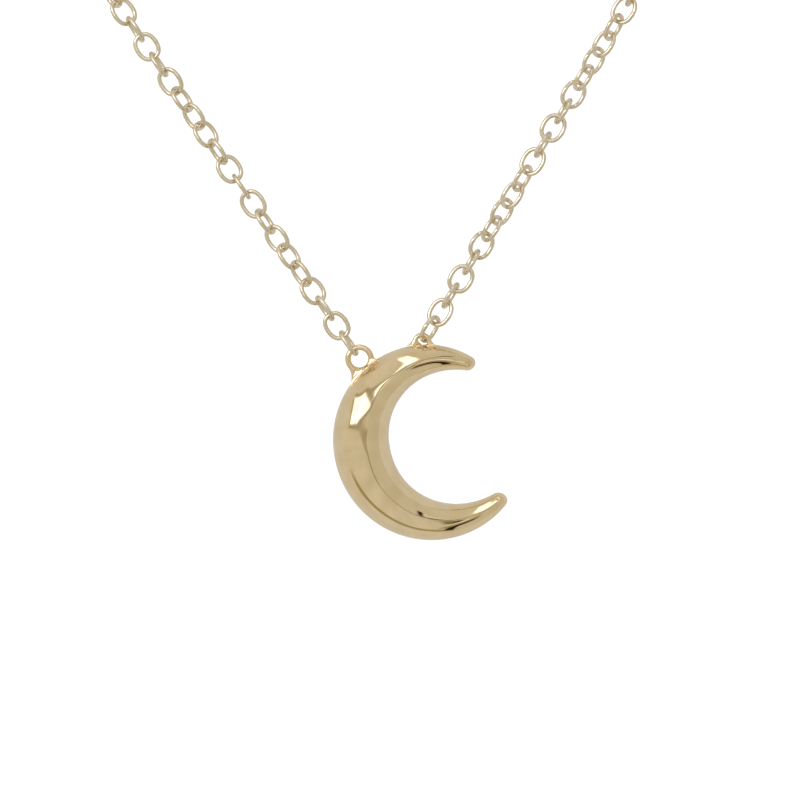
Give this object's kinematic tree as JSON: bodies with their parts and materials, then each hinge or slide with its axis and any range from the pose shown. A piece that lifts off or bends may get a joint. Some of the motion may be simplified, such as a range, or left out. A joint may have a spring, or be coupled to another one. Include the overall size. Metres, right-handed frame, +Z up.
{
  "type": "pendant necklace",
  "caption": "Fine oval cable-chain necklace with a small puffed crescent moon fixed into the chain by two soldered rings, closed by a spring-ring clasp.",
  "frame": {"origin": "on the flat back of the moon pendant, at the crescent's widest place", "axes": "+Z up out of the table, from the pendant's back to its domed front; +Y from the pendant towards the clasp; +X to the wearer's left as the front is seen"},
  "size_m": [0.0983, 0.1929, 0.0022],
  "materials": {
    "moon_gold": "polished",
    "chain_gold": "polished",
    "clasp_gold": "polished",
    "bolt_gold": "polished",
    "spring_steel": "satin"
  },
  "bodies": {
    "pendant": {"moon_front_shell": "moon_gold", "moon_back_plate": "moon_gold", "left_ring": "moon_gold", "right_ring": "moon_gold"},
    "left_link_1": {"left_link_1": "chain_gold"},
    "left_link_2": {"left_link_2": "chain_gold"},
    "left_link_3": {"left_link_3": "chain_gold"},
    "left_chain_1": {"left_chain_1": "chain_gold"},
    "left_chain_2": {"left_chain_2": "chain_gold"},
    "left_chain_3": {"left_chain_3": "chain_gold"},
    "left_chain_4": {"left_chain_4": "chain_gold"},
    "left_chain_5": {"left_chain_5": "chain_gold"},
    "left_chain_6": {"left_chain_6": "chain_gold"},
    "left_chain_7": {"left_chain_7": "chain_gold"},
    "left_chain_8": {"left_chain_8": "chain_gold"},
    "left_chain_9": {"left_chain_9": "chain_gold"},
    "clasp_jump_ring": {"clasp_jump_ring": "clasp_gold"},
    "clasp": {"clasp_tube": "clasp_gold", "clasp_eye": "clasp_gold", "clasp_spring": "spring_steel"},
    "bolt": {"clasp_bolt": "bolt_gold", "clasp_lever": "bolt_gold"},
    "right_link_1": {"right_link_1": "chain_gold"},
    "right_link_2": {"right_link_2": "chain_gold"},
    "right_link_3": {"right_link_3": "chain_gold"},
    "right_chain_1": {"right_chain_1": "chain_gold"},
    "right_chain_2": {"right_chain_2": "chain_gold"},
    "right_chain_3": {"right_chain_3": "chain_gold"},
    "right_chain_4": {"right_chain_4": "chain_gold"},
    "right_chain_5": {"right_chain_5": "chain_gold"},
    "right_chain_6": {"right_chain_6": "chain_gold"},
    "right_chain_7": {"right_chain_7": "chain_gold"},
    "right_chain_8": {"right_chain_8": "chain_gold"},
    "right_chain_9": {"right_chain_9": "chain_gold"},
    "end_ring": {"end_ring": "clasp_gold"}
  },
  "joints": [
    {"name": "left_link_turn_1", "type": "hinge", "parent": "pendant", "child": "left_link_1", "pos_m": [-0.00036, 0.00557, 0.0007], "axis": [0, 0, 1], "range_deg": [-14, 14]},
    {"name": "left_link_turn_2", "type": "hinge", "parent": "left_link_1", "child": "left_link_2", "pos_m": [-0.00102, 0.00654, 0.0007], "axis": [0, 0, 1], "range_deg": [-13, 13]},
    {"name": "left_link_turn_3", "type": "hinge", "parent": "left_link_2", "child": "left_link_3", "pos_m": [-0.00168, 0.0075, 0.0007], "axis": [0, 0, 1], "range_deg": [-13, 13]},
    {"name": "left_chain_turn_1", "type": "hinge", "parent": "left_link_3", "child": "left_chain_1", "pos_m": [-0.00234, 0.00847, 0.0007], "axis": [0, 0, 1], "range_deg": [-12, 12]},
    {"name": "left_chain_turn_2", "type": "hinge", "parent": "left_chain_1", "child": "left_chain_2", "pos_m": [-0.01415, 0.0259, 0.0007], "axis": [0, 0, 1], "range_deg": [-12, 12]},
    {"name": "left_chain_turn_3", "type": "hinge", "parent": "left_chain_2", "child": "left_chain_3", "pos_m": [-0.02535, 0.04374, 0.0007], "axis": [0, 0, 1], "range_deg": [-12, 12]},
    {"name": "left_chain_turn_4", "type": "hinge", "parent": "left_chain_3", "child": "left_chain_4", "pos_m": [-0.03536, 0.06226, 0.0007], "axis": [0, 0, 1], "range_deg": [-13, 13]},
    {"name": "left_chain_turn_5", "type": "hinge", "parent": "left_chain_4", "child": "left_chain_5", "pos_m": [-0.04353, 0.08166, 0.0007], "axis": [0, 0, 1], "range_deg": [-14, 14]},
    {"name": "left_chain_turn_6", "type": "hinge", "parent": "left_chain_5", "child": "left_chain_6", "pos_m": [-0.04915, 0.10194, 0.0007], "axis": [0, 0, 1], "range_deg": [-15, 15]},
    {"name": "left_chain_turn_7", "type": "hinge", "parent": "left_chain_6", "child": "left_chain_7", "pos_m": [-0.05149, 0.12284, 0.0007], "axis": [0, 0, 1], "range_deg": [-16, 16]},
    {"name": "left_chain_turn_8", "type": "hinge", "parent": "left_chain_7", "child": "left_chain_8", "pos_m": [-0.04984, 0.1438, 0.0007], "axis": [0, 0, 1], "range_deg": [-17, 17]},
    {"name": "left_chain_turn_9", "type": "hinge", "parent": "left_chain_8", "child": "left_chain_9", "pos_m": [-0.04363, 0.16388, 0.0007], "axis": [0, 0, 1], "range_deg": [-18, 18]},
    {"name": "clasp_jump_ring_turn", "type": "hinge", "parent": "left_chain_9", "child": "clasp_jump_ring", "pos_m": [-0.03243, 0.18196, 0.0007], "axis": [0, 0, 1], "range_deg": [-20, 20]},
    {"name": "clasp_swivel", "type": "hinge", "parent": "clasp_jump_ring", "child": "clasp", "pos_m": [-0.03184, 0.18267, 0.0007], "axis": [0, 0, 1], "range_deg": [-25, 25]},
    {"name": "clasp_bolt_travel", "type": "hinge", "parent": "clasp", "child": "bolt", "pos_m": [-0.02961, 0.18537, 0.0007], "axis": [0, 0, 1], "range_deg": [0, 60], "stiffness_Nm_per_rad": 0.00002, "deforming": ["clasp_spring"]},
    {"name": "right_link_turn_1", "type": "hinge", "parent": "pendant", "child": "right_link_1", "pos_m": [0.00337, 0.00633, 0.0007], "axis": [0, 0, 1], "range_deg": [-14, 14]},
    {"name": "right_link_turn_2", "type": "hinge", "parent": "right_link_1", "child": "right_link_2", "pos_m": [0.00394, 0.00726, 0.0007], "axis": [0, 0, 1], "range_deg": [-13, 13]},
    {"name": "right_link_turn_3", "type": "hinge", "parent": "right_link_2", "child": "right_link_3", "pos_m": [0.00451, 0.00819, 0.0007], "axis": [0, 0, 1], "range_deg": [-13, 13]},
    {"name": "right_chain_turn_1", "type": "hinge", "parent": "right_link_3", "child": "right_chain_1", "pos_m": [0.00508, 0.00912, 0.0007], "axis": [0, 0, 1], "range_deg": [-12, 12]},
    {"name": "right_chain_turn_2", "type": "hinge", "parent": "right_chain_1", "child": "right_chain_2", "pos_m": [0.01525, 0.0259, 0.0007], "axis": [0, 0, 1], "range_deg": [-12, 12]},
    {"name": "right_chain_turn_3", "type": "hinge", "parent": "right_chain_2", "child": "right_chain_3", "pos_m": [0.02483, 0.04302, 0.0007], "axis": [0, 0, 1], "range_deg": [-12, 12]},
    {"name": "right_chain_turn_4", "type": "hinge", "parent": "right_chain_3", "child": "right_chain_4", "pos_m": [0.03327, 0.06072, 0.0007], "axis": [0, 0, 1], "range_deg": [-13, 13]},
    {"name": "right_chain_turn_5", "type": "hinge", "parent": "right_chain_4", "child": "right_chain_5", "pos_m": [0.03996, 0.07916, 0.0007], "axis": [0, 0, 1], "range_deg": [-14, 14]},
    {"name": "right_chain_turn_6", "type": "hinge", "parent": "right_chain_5", "child": "right_chain_6", "pos_m": [0.04424, 0.09829, 0.0007], "axis": [0, 0, 1], "range_deg": [-15, 15]},
    {"name": "right_chain_turn_7", "type": "hinge", "parent": "right_chain_6", "child": "right_chain_7", "pos_m": [0.04545, 0.11785, 0.0007], "axis": [0, 0, 1], "range_deg": [-16, 16]},
    {"name": "right_chain_turn_8", "type": "hinge", "parent": "right_chain_7", "child": "right_chain_8", "pos_m": [0.04293, 0.13727, 0.0007], "axis": [0, 0, 1], "range_deg": [-17, 17]},
    {"name": "right_chain_turn_9", "type": "hinge", "parent": "right_chain_8", "child": "right_chain_9", "pos_m": [0.03622, 0.15566, 0.0007], "axis": [0, 0, 1], "range_deg": [-18, 18]},
    {"name": "end_ring_turn", "type": "hinge", "parent": "right_chain_9", "child": "end_ring", "pos_m": [0.02488, 0.17204, 0.0007], "axis": [0, 0, 1], "range_deg": [-30, 30]}
  ]
}
